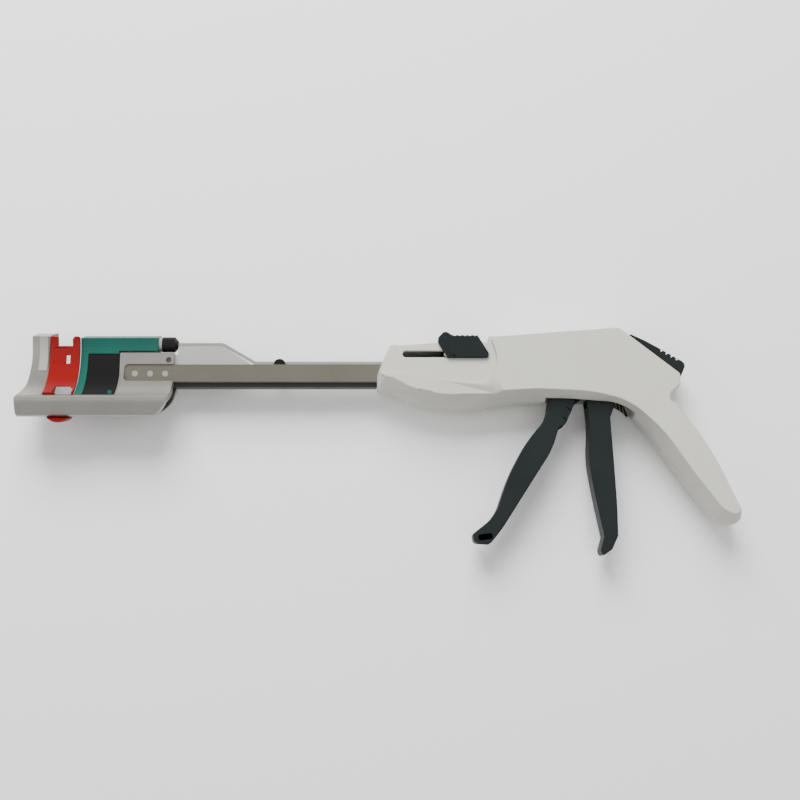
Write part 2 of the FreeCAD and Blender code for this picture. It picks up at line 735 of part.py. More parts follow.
for low in (-ear_half - ear_thick, ear_half):
    ear = prism(ear_outline, low, low + ear_thick)
    for x, y in fork_points:
        ear = ear.cut(post(x, y, fork_clear, low - 1, low + ear_thick + 1))
    for first, last in zip(fork_points, fork_points[1:]):
        along = V(last[0] - first[0], last[1] - first[1], 0)
        across = V(-along.y, along.x, 0).normalize() * fork_clear
        corners = [V(first[0], first[1], low - 1) + across, V(first[0], first[1], low - 1) - across,
                   V(last[0], last[1], low - 1) - across, V(last[0], last[1], low - 1) + across]
        link = Part.Face(Part.makePolygon(corners + corners[:1]))
        ear = ear.cut(link.extrude(V(0, 0, ear_thick + 2)))
    closure_parts.append(ear)
closure_lever = fuse(closure_parts)
closure_lever = closure_lever.cut(post(axle_x, axle_y, axle_r + fit_gap, -20, 20))
save("closure_trigger", closure_lever)

# Firing trigger: a narrow arm between the ears, with a finger behind the firing bar
firing_body, firing_hollow = channel_lever(firing_outline, (2.0, -1.6, 0), -110.0)
firing_body = firing_body.cut(firing_hollow)
finger_r = 15.6
finger_x = bar_rear_x + 0.4
arm_outline = [
    (-17.5, -20.2, 1.0),
    (-26.0, -18.6, 1.0),
    (-24.0, -14.8, 1.0),
    (-hub_r, axle_y + 3.5, 4.0),
    (finger_x, axle_y + 8.0, 1.0),
    (finger_x, axle_y + finger_r + 1.6, 1.2),
    (finger_x + 3.0, axle_y + finger_r + 1.6, 1.2),
    (hub_r, axle_y + 4.0, 3.0),
    (hub_r, axle_y - 2.0, 3.0),
    (0.0, axle_y - hub_r, 3.0),
    (-9.0, axle_y - 5.4, 3.0),
]
firing_lever = fuse([firing_body, prism(arm_outline, -firing_hub_half, firing_hub_half)])
firing_lever = firing_lever.cut(post(axle_x, axle_y, axle_r + fit_gap, -20, 20))
save("firing_trigger", firing_lever)
save("trigger_axle", post(axle_x, axle_y, axle_r, -core_half - 0.5, core_half + 0.5))

# Release button on the back of the handle
button_outline = [
    (17.6, 21.6, 1.2),
    (20.0, 22.0, 1.2),
    (33.2, 15.0, SOFT),
    (46.8, 6.6, 1.6),
    (48.2, 3.6, 1.2),
    (45.4, -2.2, 1.2),
    (43.4, -2.0, 1.0),
    (30.4, 8.0, 2.0),
    (17.0, 17.4, 1.2),
]
button = prism(button_outline, -button_half, button_half)
button_rims = [e for e in button.Edges
               if abs(abs(e.BoundBox.ZMin) - button_half) < 0.01 and e.BoundBox.ZLength < 0.01]
button = button.makeFillet(0.7, button_rims)
for i in range(4):
    notch_x = 34.6 + i * 3.1
    notch_y = 14.4 - i * 1.86
    button = button.cut(post(notch_x, notch_y, 0.9, -button_half - 1, button_half + 1))
button = button.cut(post(button_pin_x, button_pin_y, button_pin_r + fit_gap, -20, 20))
save("release_button", button)
save("button_pin", post(button_pin_x, button_pin_y, button_pin_r, -button_pin_half,
                        button_pin_half))


def coil(radius, wire, length, turns, start, axis):
    """A round-wire spring from its start point along an axis, in short straight steps."""
    steps = 12
    points = []
    for i in range(turns * steps + 1):
        turn = 2 * math.pi * i / steps
        points.append(V(radius * math.cos(turn), radius * math.sin(turn),
                        length * i / (turns * steps)))
    path = Part.makePolygon(points)
    side = Part.Wire(Part.makeCircle(wire / 2, points[0], points[1] - points[0]).Edges)
    spring = path.makePipeShell([side], True, False, 1)
    spring.Placement = FreeCAD.Placement(start, FreeCAD.Rotation(V(0, 0, 1), axis))
    return spring


# Springs
floor_spot = V(36.1, -2.4, 0)
button_normal = V(0.604, 0.797, 0)
button_spring_len = 4.2
save("button_spring", coil(1.8, 0.5, button_spring_len, 3, floor_spot, button_normal))
save("closure_return_spring", coil(spring_r, spring_wire, spring_x1 - spring_x0, 7,
                                   V(spring_x0, spring_y, 0), V(1, 0, 0)))

# Casing screws, driven from the far side
screws = []
for x, y in screw_places:
    shank = post(x, y, screw_r, -half_thick + head_deep, -0.0)
    thread = post(x, y, screw_r * 0.78, -0.0, core_half - 0.6)
    head = post(x, y, head_r, -half_thick + head_deep - 2.0, -half_thick + head_deep)
    screws.append(fuse([shank, thread, head]))
save("casing_screws", Part.makeCompound(screws))

# Staple retainer: a clip in the jaw gap that slides out along the curve
web_inner_r = 28.8
web_outer_r = 30.1
clip_x0 = anvil_face_x + 0.25
clip_x1 = face_x - 0.25
flange_thick = 1.0
far_inner_r = 41.9
far_outer_r = 43.0
floor_deg = 54.0
floor_low_deg = 55.5
tab_outer_r = 44.8
tab_low_deg = 64.5
web = band(web_inner_r, web_outer_r, head_top_deg, floor_low_deg, clip_x0, clip_x1)
notch_x0 = clip_x0 + 4.6
notch_x1 = clip_x1 - 4.0
web = web.cut(box(notch_x0, notch_x1, 15.4, 40.0, -10, 10))
web = web.cut(box(-294.9 - 2.3, -294.9, 5.3, 10.2, -5, 20))
web = web.cut(prism([(-301.5, -13.2), (-292.8, -13.2), (-291.8, -8.8), (-300.6, -8.8)], 0, 30))
flange = band(web_inner_r, far_outer_r, head_top_deg, floor_low_deg, clip_x0,
              clip_x0 + flange_thick)
flange = flange.cut(band(knife_r - 1.2, knife_r + 1.2, knife_top_deg - 2.0, knife_low_deg + 2.0,
                         clip_x0 - 1, clip_x0 + 2))
flange = flange.cut(round_bar(clip_x0 - 1, clip_x0 + 2, pin_y, pin_z, pin_r + 0.5))
floor = band(web_inner_r, far_outer_r, floor_deg, floor_low_deg, clip_x0, clip_x1)
far_web = band(far_inner_r, far_outer_r, 38.0, floor_low_deg, clip_x0, clip_x1)
tongue = band(head_outer_r + slide_gap, far_outer_r + 0.5, 50.0, tab_low_deg, clip_x0 + 1.5,
              clip_x1 - 1.5)
thumb = band(head_outer_r + slide_gap, tab_outer_r, 56.5, tab_low_deg, clip_x0 + 1.5,
             clip_x1 - 1.5)
tab_x = (clip_x0 + clip_x1) / 2
lens = post(tab_x, -20.2, 8.8, -20, 30)
retainer = fuse([web, flange, floor, far_web, tongue.common(lens), thumb.common(lens)])
save("staple_retainer", retainer)
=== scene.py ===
"""Looks of a curved cutter stapler that lies on its far side on a pale table.

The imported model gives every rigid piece. This file dresses each sub-assembly in its finishes, adds
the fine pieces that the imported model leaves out, and sets the table, the lights and the camera.
"""

import json
import logging
import math
from dataclasses import dataclass, field
from enum import Enum

import bmesh
import bpy
from mathutils import Matrix, Vector
from mathutils.bvhtree import BVHTree

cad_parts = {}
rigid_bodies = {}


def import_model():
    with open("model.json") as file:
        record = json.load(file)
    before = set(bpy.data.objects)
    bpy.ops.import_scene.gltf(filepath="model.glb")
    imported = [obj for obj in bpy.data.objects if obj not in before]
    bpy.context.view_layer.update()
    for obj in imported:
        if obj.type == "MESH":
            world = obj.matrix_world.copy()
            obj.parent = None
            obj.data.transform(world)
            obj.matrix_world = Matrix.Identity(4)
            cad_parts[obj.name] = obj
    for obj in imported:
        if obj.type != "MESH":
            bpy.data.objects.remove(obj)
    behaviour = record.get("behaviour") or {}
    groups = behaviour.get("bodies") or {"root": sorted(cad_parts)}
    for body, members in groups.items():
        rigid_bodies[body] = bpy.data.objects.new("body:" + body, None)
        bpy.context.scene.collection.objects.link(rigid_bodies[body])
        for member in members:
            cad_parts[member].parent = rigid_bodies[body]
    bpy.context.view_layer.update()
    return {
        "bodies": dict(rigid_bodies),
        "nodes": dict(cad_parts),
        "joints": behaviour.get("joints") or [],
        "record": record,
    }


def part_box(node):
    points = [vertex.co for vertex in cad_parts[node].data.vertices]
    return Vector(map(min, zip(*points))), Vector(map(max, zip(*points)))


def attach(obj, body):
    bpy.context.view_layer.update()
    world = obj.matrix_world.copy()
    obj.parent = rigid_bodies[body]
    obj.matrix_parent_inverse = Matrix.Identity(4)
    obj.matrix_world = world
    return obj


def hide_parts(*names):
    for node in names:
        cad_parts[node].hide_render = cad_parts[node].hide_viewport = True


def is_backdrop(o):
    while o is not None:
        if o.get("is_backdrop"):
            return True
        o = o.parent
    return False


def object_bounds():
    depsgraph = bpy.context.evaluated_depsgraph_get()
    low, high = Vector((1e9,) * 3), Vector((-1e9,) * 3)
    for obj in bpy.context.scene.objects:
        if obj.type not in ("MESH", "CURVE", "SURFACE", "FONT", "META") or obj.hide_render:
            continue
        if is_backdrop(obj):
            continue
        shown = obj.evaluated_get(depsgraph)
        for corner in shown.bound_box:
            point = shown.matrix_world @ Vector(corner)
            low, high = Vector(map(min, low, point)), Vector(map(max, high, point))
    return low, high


LOG = logging.getLogger("stapler")
MM = 0.001
WELD = 1e-6
# Heights in millimetres: the parting plane, and a cutter's start and length past every piece.
MID_Z = 15.0
UNDER_ALL = -10.0
THROUGH_ALL = 60.0
# Angles in degrees from which an edge is rounded, and from which a reworked one is shaded sharp.
EDGE_ANGLE = 38.0
SHARP_ANGLE = 32.0
# What the finishes share: their slow clouding, relief, lighter edges, painted shade and brush marks.
NEVER_DARK = -100.0
CLOUD_SCALE = 45.0
CLOUD_DETAIL = 4.0
CLOUD_ENDS = (0.35, 0.65)
ROUGHNESS_SWING = 0.12
GRAIN_DEPTH = 0.0002
EDGE_WIDTH = 0.0005
EDGE_LIKENESS = (0.98, 0.8)
LIGHT_EDGE_TONE = 1.9
PAINTED_SHADE_TONE = 0.06
BRUSH_STRETCH = (0.02, 1.0, 1.0)
BRUSH_FINENESS = 4
BRUSH_DETAIL = 3.0
CELL_FINENESS = 2
BLASTED_DETAIL = 6.0
SMOOTH_DETAIL = 2.0
X_DIR = Vector((1.0, 0.0, 0.0))
Y_DIR = Vector((0.0, 1.0, 0.0))
Z_DIR = Vector((0.0, 0.0, 1.0))


class Grain(Enum):
    """The kinds of fine surface that a moulded or machined piece can have."""

    SMOOTH = "smooth"
    MOULDED = "moulded"
    BLASTED = "blasted"
    BRUSHED = "brushed"


@dataclass(frozen=True)
class Finish:
    """One finish: its colour, gloss and fine surface.

    Attributes:
        name: the material's name.
        colour: linear red, green and blue.
        roughness: the middle of the roughness.
        metallic: 1 for bare metal, 0 for plastic.
        grain: which fine surface it has.
        grain_scale: how fine the grain is, in features per metre.
        bump: strength of the grain's relief.
        mottle: how far the colour wanders, as a share.
        edge_light: how much lighter the convex edges are, as a share.
        gloss: how strongly a plastic surface mirrors, 0.5 being usual.
        soften: radius over which the shading rounds the edges, in millimetres.
        painted_shade_below: the height along Y under which shade is painted onto the metal as a
            darker colour, in millimetres.
    """

    name: str
    colour: tuple[float, float, float]
    roughness: float
    metallic: float = 0.0
    grain: Grain = Grain.SMOOTH
    grain_scale: float = 900.0
    bump: float = 0.1
    mottle: float = 0.04
    edge_light: float = 0.0
    gloss: float = 0.5
    soften: float = 0.0
    painted_shade_below: float = NEVER_DARK

    def build(self) -> bpy.types.Material:
        """Make the node material.

        Returns:
            The finished material.
        """
        material = bpy.data.materials.new(self.name)
        material.use_nodes = True
        tree = material.node_tree
        shader = tree.nodes["Principled BSDF"]
        shader.inputs["Metallic"].default_value = self.metallic
        shader.inputs["Specular IOR Level"].default_value = self.gloss
        place = tree.nodes.new("ShaderNodeTexCoord")
        cloud = self._noise(tree, place, CLOUD_SCALE, CLOUD_DETAIL)
        tint = self._ramp(tree, cloud, self._tone(1 - self.mottle), self._tone(1 + self.mottle))
        colour_out = tint.outputs["Color"]
        if self.edge_light > 0:
            colour_out = self._lighter_edges(tree, colour_out)
        # Painted shade: under a height along Y the metal is darkened, standing in for shadow and a
        # dark reflection.
        if self.painted_shade_below > NEVER_DARK:
            colour_out = self._paint_shade(tree, place, colour_out)
        tree.links.new(colour_out, shader.inputs["Base Color"])
        grain = self._grain(tree, place)
        rough = tree.nodes.new("ShaderNodeMapRange")
        rough.inputs["To Min"].default_value = self.roughness * (1 - ROUGHNESS_SWING)
        rough.inputs["To Max"].default_value = self.roughness * (1 + ROUGHNESS_SWING)
        tree.links.new(grain.outputs[0], rough.inputs["Value"])
        tree.links.new(rough.outputs["Result"], shader.inputs["Roughness"])
        relief = tree.nodes.new("ShaderNodeBump")
        relief.inputs["Strength"].default_value = self.bump
        relief.inputs["Distance"].default_value = GRAIN_DEPTH
        tree.links.new(grain.outputs[0], relief.inputs["Height"])
        tree.links.new(relief.outputs["Normal"], shader.inputs["Normal"])
        if self.soften > 0:
            rounded = tree.nodes.new("ShaderNodeBevel")
            rounded.samples = 6
            rounded.inputs["Radius"].default_value = self.soften * MM
            tree.links.new(rounded.outputs["Normal"], relief.inputs["Normal"])
        return material

    def _tone(self, factor: float) -> tuple[float, float, float, float]:
        """The colour made lighter or darker, with full opacity."""
        return tuple(min(1.0, channel * factor) for channel in self.colour) + (1.0,)

    def _noise(self, tree: bpy.types.NodeTree, place: bpy.types.Node, scale: float,
               detail: float) -> bpy.types.Node:
        """Add a noise texture in object space.

        Args:
            tree: the material's node tree.
            place: the texture coordinate node.
            scale: features per metre.
            detail: octaves of detail.

        Returns:
            The noise node.
        """
        noise = tree.nodes.new("ShaderNodeTexNoise")
        noise.inputs["Scale"].default_value = scale
        noise.inputs["Detail"].default_value = detail
        tree.links.new(place.outputs["Object"], noise.inputs["Vector"])
        return noise

    def _ramp(self, tree: bpy.types.NodeTree, source: bpy.types.Node,
              low: tuple[float, float, float, float],
              high: tuple[float, float, float, float]) -> bpy.types.Node:
        """Turn a texture's value into a run between two colours.

        Args:
            tree: the material's node tree.
            source: the texture node.
            low: the colour at the dark end.
            high: the colour at the light end.

        Returns:
            The colour ramp node.
        """
        ramp = tree.nodes.new("ShaderNodeValToRGB")
        for end, spot, tone in zip(ramp.color_ramp.elements, CLOUD_ENDS, (low, high)):
            end.position = spot
            end.color = tone
        tree.links.new(source.outputs[0], ramp.inputs["Fac"])
        return ramp

    def _lighter_edges(self, tree: bpy.types.NodeTree,
                    colour_out: bpy.types.NodeSocket) -> bpy.types.NodeSocket:
        """Lighten the convex edges.

        Args:
            tree: the material's node tree.
            colour_out: the socket with the colour so far.

        Returns:
            The socket with the colour after the lightening.
        """
        bevel = tree.nodes.new("ShaderNodeBevel")
        bevel.samples = 4
        bevel.inputs["Radius"].default_value = EDGE_WIDTH
        geometry = tree.nodes.new("ShaderNodeNewGeometry")
        likeness = tree.nodes.new("ShaderNodeVectorMath")
        likeness.operation = "DOT_PRODUCT"
        tree.links.new(bevel.outputs["Normal"], likeness.inputs[0])
        tree.links.new(geometry.outputs["Normal"], likeness.inputs[1])
        edge = tree.nodes.new("ShaderNodeMapRange")
        edge.inputs["From Min"].default_value = EDGE_LIKENESS[0]
        edge.inputs["From Max"].default_value = EDGE_LIKENESS[1]
        edge.inputs["To Max"].default_value = self.edge_light
        tree.links.new(likeness.outputs["Value"], edge.inputs["Value"])
        mix = tree.nodes.new("ShaderNodeMix")
        mix.data_type = "RGBA"
        mix.inputs["B"].default_value = self._tone(LIGHT_EDGE_TONE)
        tree.links.new(edge.outputs["Result"], mix.inputs["Factor"])
        tree.links.new(colour_out, mix.inputs["A"])
        return mix.outputs["Result"]

    def _paint_shade(self, tree: bpy.types.NodeTree, place: bpy.types.Node,
                   colour_out: bpy.types.NodeSocket) -> bpy.types.NodeSocket:
        """Paint shade on the metal: darken it under a height along Y, standing in for the shadow
        under the plates and the dark that the metal mirrors.

        Args:
            tree: the material's node tree.
            place: the texture coordinate node.
            colour_out: the socket with the colour so far.

        Returns:
            The socket with the colour after darkening.
        """
        axes = tree.nodes.new("ShaderNodeSeparateXYZ")
        tree.links.new(place.outputs["Object"], axes.inputs["Vector"])
        under = tree.nodes.new("ShaderNodeMath")
        under.operation = "LESS_THAN"
        under.inputs[1].default_value = self.painted_shade_below * MM
        tree.links.new(axes.outputs["Y"], under.inputs[0])
        mix = tree.nodes.new("ShaderNodeMix")
        mix.data_type = "RGBA"
        # The painted shade's colour: the metal's own colour made much darker.
        mix.inputs["B"].default_value = self._tone(PAINTED_SHADE_TONE)
        tree.links.new(under.outputs["Value"], mix.inputs["Factor"])
        tree.links.new(colour_out, mix.inputs["A"])
        return mix.outputs["Result"]

    def _grain(self, tree: bpy.types.NodeTree, place: bpy.types.Node) -> bpy.types.Node:
        """Add the fine surface that this finish has.

        Args:
            tree: the material's node tree.
            place: the texture coordinate node.

        Returns:
            The node whose first output is the grain's height.
        """
        if self.grain is Grain.BRUSHED:
            stretch = tree.nodes.new("ShaderNodeMapping")
            stretch.inputs["Scale"].default_value = BRUSH_STRETCH
            tree.links.new(place.outputs["Object"], stretch.inputs["Vector"])
            noise = tree.nodes.new("ShaderNodeTexNoise")
            noise.inputs["Scale"].default_value = self.grain_scale * BRUSH_FINENESS
            noise.inputs["Detail"].default_value = BRUSH_DETAIL
            tree.links.new(stretch.outputs["Vector"], noise.inputs["Vector"])
            return noise
        if self.grain is Grain.MOULDED:
            cells = tree.nodes.new("ShaderNodeTexVoronoi")
            cells.inputs["Scale"].default_value = self.grain_scale * CELL_FINENESS
            tree.links.new(place.outputs["Object"], cells.inputs["Vector"])
            return cells
        detail = BLASTED_DETAIL if self.grain is Grain.BLASTED else SMOOTH_DETAIL
        return self._noise(tree, place, self.grain_scale, detail)


WHITE_CASING = Finish("white_casing", (0.53, 0.525, 0.475), 0.5, grain=Grain.MOULDED,
                      grain_scale=1100.0, bump=0.05, mottle=0.012, gloss=0.35, soften=1.0)
CHARCOAL = Finish("charcoal_plastic", (0.0125, 0.0165, 0.0162), 0.55, grain=Grain.MOULDED,
                  grain_scale=800.0, bump=0.14, mottle=0.08, edge_light=0.45, gloss=0.16,
                  soften=0.6)
RED = Finish("red_plastic", (0.19, 0.0006, 0.0003), 0.42, grain=Grain.SMOOTH,
             grain_scale=500.0, bump=0.05, mottle=0.05, gloss=0.35, soften=0.4)
GREEN = Finish("green_plastic", (0.006, 0.080, 0.062), 0.45, grain=Grain.MOULDED,
               grain_scale=700.0, bump=0.08, mottle=0.05, gloss=0.3, soften=0.4)
BLACK = Finish("black_plastic", (0.004, 0.0045, 0.004), 0.5, grain=Grain.MOULDED,
               grain_scale=700.0, bump=0.1, mottle=0.1, gloss=0.3, soften=0.3)
CAST = Finish("cast_aluminium", (0.37, 0.36, 0.33), 0.40, metallic=0.8, grain=Grain.BLASTED,
              grain_scale=2200.0, bump=0.22, mottle=0.05, edge_light=0.2, soften=1.0)
PLATE = Finish("steel_plate", (0.152, 0.143, 0.114), 0.42, metallic=0.5, grain=Grain.BRUSHED,
               grain_scale=700.0, bump=0.12, mottle=0.04, soften=0.3)
BRIGHT = Finish("steel_bright", (0.52, 0.52, 0.50), 0.30, metallic=0.8, grain=Grain.BRUSHED,
                grain_scale=900.0, bump=0.1, mottle=0.03)
DARK_STEEL = Finish("dark_steel", (0.012, 0.0115, 0.010), 0.42, metallic=0.3,
                    grain=Grain.BRUSHED, grain_scale=700.0, bump=0.1, mottle=0.05)
GREY_PLASTIC = Finish("grey_plastic", (0.30, 0.295, 0.26), 0.45, grain=Grain.MOULDED,
                      grain_scale=700.0, bump=0.08, mottle=0.04)
# The channel panel gets painted shade below Y -4.9 mm, for the shadow under the plates and a dark
# reflection.
PANEL = Finish("channel_panel", (0.39, 0.385, 0.365), 0.42, metallic=0.2, grain=Grain.BRUSHED,
               grain_scale=600.0, bump=0.08, mottle=0.03, painted_shade_below=-4.9)
SPECKLED = Finish("speckled_ring", (0.20, 0.22, 0.20), 0.5, grain=Grain.BLASTED,
                  grain_scale=1500.0, bump=0.3, mottle=0.5)
TABLE = Finish("table_top", (0.93, 0.93, 0.93), 0.8, grain=Grain.SMOOTH, grain_scale=60.0,
               bump=0.0, mottle=0.0)


@dataclass
class Dresser:
    """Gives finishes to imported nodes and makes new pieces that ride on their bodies.

    Attributes:
        frame: the loaded frame.
        made: materials already built, by finish name.
    """

    frame: dict
    made: dict[str, bpy.types.Material] = field(default_factory=dict)

    def material(self, finish: Finish) -> bpy.types.Material:
        """The material of a finish, built once."""
        if finish.name not in self.made:
            self.made[finish.name] = finish.build()
        return self.made[finish.name]

    def dress(self, node: str, finish: Finish, edge: float) -> None:
        """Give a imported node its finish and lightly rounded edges.

        Args:
            node: the node's name.
            finish: the finish.
            edge: the radius of the edge rounding, in millimetres.
        """
        piece = self.frame["nodes"][node]
        piece.data.materials.clear()
        piece.data.materials.append(self.material(finish))
        self.soften(piece, edge)
        LOG.info("dressed %s in %s", node, finish.name)

    def dress_all(self, finishes: dict[str, tuple[Finish, float]]) -> None:
        """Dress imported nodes.

        Args:
            finishes: each node's finish and the radius of its edges, in millimetres.
        """
        for node, (finish, edge) in finishes.items():
            self.dress(node, finish, edge)

    def soften(self, piece: bpy.types.Object, edge: float) -> None:
        """Shade a piece smoothly and round its sharp edges.

        Args:
            piece: the object.
            edge: the radius of the edge rounding, in millimetres, or 0 for none.
        """
        for polygon in piece.data.polygons:
            polygon.use_smooth = True
        if edge > 0:
            bevel = piece.modifiers.new("edge", "BEVEL")
            bevel.width = edge * MM
            bevel.segments = 2
            bevel.limit_method = "ANGLE"
            bevel.angle_limit = math.radians(EDGE_ANGLE)
            bevel.use_clamp_overlap = True
            bevel.harden_normals = True

    def add(self, name: str, mesh: bpy.types.Mesh, body: str, finish: Finish,
            slot: str) -> bpy.types.Object:
        """Add a new piece that rides on a body.

        Args:
            name: the piece's name.
            mesh: its mesh, in the frame's metres.
            body: the body that carries it.
            finish: its finish.
            slot: the record's material slot; not used.

        Returns:
            The new object.
        """
        piece = bpy.data.objects.new(name, mesh)
        bpy.context.scene.collection.objects.link(piece)
        mesh.materials.append(self.material(finish))
        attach(piece, body)
        LOG.info("made %s on %s", name, body)
        return piece


class Workshop:
    """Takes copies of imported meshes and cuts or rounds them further."""

    def __init__(self, dresser: Dresser) -> None:
        """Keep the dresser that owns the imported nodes."""
        self.dresser = dresser

    def mesh(self, name: str, shape: bmesh.types.BMesh) -> bpy.types.Mesh:
        """A mesh of that name, with the shape, which is used up."""
        mesh = bpy.data.meshes.new(name)
        shape.to_mesh(mesh)
        shape.free()
        return mesh

    def copy(self, node: str) -> bmesh.types.BMesh:
        """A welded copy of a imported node's mesh."""
        shape = bmesh.new()
        shape.from_mesh(self.dresser.frame["nodes"][node].data)
        bmesh.ops.remove_doubles(shape, verts=shape.verts, dist=WELD)
        return shape

    def hull(self, spots: list[tuple[float, float, float]]) -> bmesh.types.BMesh:
        """The convex solid round some spots, given in millimetres."""
        shape = bmesh.new()
        for spot in spots:
            shape.verts.new(Vector(spot) * MM)
        bmesh.ops.convex_hull(shape, input=shape.verts)
        bmesh.ops.recalc_face_normals(shape, faces=shape.faces)
        return shape

    def block(self, low: tuple[float, float, float],
              high: tuple[float, float, float]) -> bmesh.types.BMesh:
        """A box between two corners, given in millimetres."""
        return self.hull([(x, y, z) for x in (low[0], high[0]) for y in (low[1], high[1])
                          for z in (low[2], high[2])])

    def prism(self, outline: list[Vector], along: Vector) -> bmesh.types.BMesh:
        """A solid swept straight from a flat outline.

        Args:
            outline: the corners in order, in millimetres.
            along: the sweep, in millimetres.

        Returns:
            The solid.
        """
        shape = bmesh.new()
        face = shape.faces.new([shape.verts.new(Vector(corner) * MM) for corner in outline])
        pushed = bmesh.ops.extrude_face_region(shape, geom=[face])["geom"]
        moved = [item for item in pushed if isinstance(item, bmesh.types.BMVert)]
        bmesh.ops.translate(shape, verts=moved, vec=Vector(along) * MM)
        bmesh.ops.recalc_face_normals(shape, faces=shape.faces)
        return shape

    def tube(self, path: list[Vector], radius: float) -> bpy.types.Mesh:
        """A round bar along a path, thinner at its two ends.

        Args:
            path: the points, in millimetres.
            radius: of the bar, in millimetres.

        Returns:
            The mesh.
        """
        shape = bmesh.new()
        sides = 14
        end_share = 0.75
        last = len(path) - 1
        rings = []
        for index, spot in enumerate(path):
            ahead = path[min(index + 1, last)] - path[max(index - 1, 0)]
            turn = ahead.to_track_quat("Z", "Y")
            size = radius * (end_share if index in (0, last) else 1.0)
            ring = []
            for side in range(sides):
                angle = math.tau * side / sides
                offset = turn @ Vector((math.cos(angle) * size, math.sin(angle) * size, 0.0))
                ring.append(shape.verts.new((spot + offset) * MM))
            rings.append(ring)
        for first, second in zip(rings, rings[1:]):
            for side in range(sides):
                after = (side + 1) % sides
                shape.faces.new([first[side], first[after], second[after], second[side]])
        shape.faces.new(rings[0])
        shape.faces.new(rings[-1])
        bmesh.ops.recalc_face_normals(shape, faces=shape.faces)
        return self.mesh("bead", shape)

    def corner_cutter(self, corner: Vector, first: Vector, second: Vector, radius: float,
                      along: Vector) -> bmesh.types.BMesh:
        """What has to go from a square edge to leave it round.

        Args:
            corner: the start of the edge, in millimetres.
            first: unit vector from the edge along one of its faces.
            second: unit vector from the edge along the other.
            radius: of the rounding, in millimetres.
            along: the edge, in millimetres.

        Returns:
            The cutter.
        """
        out = 0.6
        steps = 6
        outline = [corner - first * out - second * out, corner + first * radius - second * out]
        centre = corner + (first + second) * radius
        for step in range(steps + 1):
            angle = math.pi / 2 * step / steps
            outline.append(centre - second * radius * math.cos(angle)
                           - first * radius * math.sin(angle))
        outline.append(corner + second * radius - first * out)
        return self.prism(outline, along)

    def cut(self, shape: bmesh.types.BMesh, cutters: list[bmesh.types.BMesh]) -> bmesh.types.BMesh:
        """Take cutters out of a shape.

        Args:
            shape: the mesh to cut; it is used up.
            cutters: the meshes that are taken out; they are used up.

        Returns:
            The cut mesh.
        """
        for cutter in cutters:
            target = self._temporary(shape)
            tool = self._temporary(cutter)
            step = target.modifiers.new("cut", "BOOLEAN")
            step.operation = "DIFFERENCE"
            step.solver = "EXACT"
            step.object = tool
            bpy.context.view_layer.update()
            done = target.evaluated_get(bpy.context.evaluated_depsgraph_get()).to_mesh()
            shape = bmesh.new()
            shape.from_mesh(done)
            for piece in (target, tool):
                mesh = piece.data
                bpy.data.objects.remove(piece)
                bpy.data.meshes.remove(mesh)
        return shape

    def _temporary(self, shape: bmesh.types.BMesh) -> bpy.types.Object:
        """An object that holds a mesh for one boolean step."""
        piece = bpy.data.objects.new("step", self.mesh("step", shape))
        bpy.context.scene.collection.objects.link(piece)
        return piece

    def stand_in(self, node: str, shape: bmesh.types.BMesh, body: str, finish: Finish,
                 slot: str, edge: float) -> None:
        """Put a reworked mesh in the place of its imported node.

        Args:
            node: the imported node.
            shape: the reworked mesh; it is used up.
            body: the body that carries it.
            finish: its finish.
            slot: the record's material slot.
            edge: radius of the light rounding on its other edges, in millimetres.
        """
        mesh = self.mesh(node + "_formed", shape)
        piece = self.dresser.add(node + "_formed", mesh, body, finish, slot)
        self.dresser.soften(piece, edge)
        mesh.set_sharp_from_angle(angle=math.radians(SHARP_ANGLE))
        evened = piece.modifiers.new("evened", "WEIGHTED_NORMAL")
        evened.keep_sharp = True
        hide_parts(node)


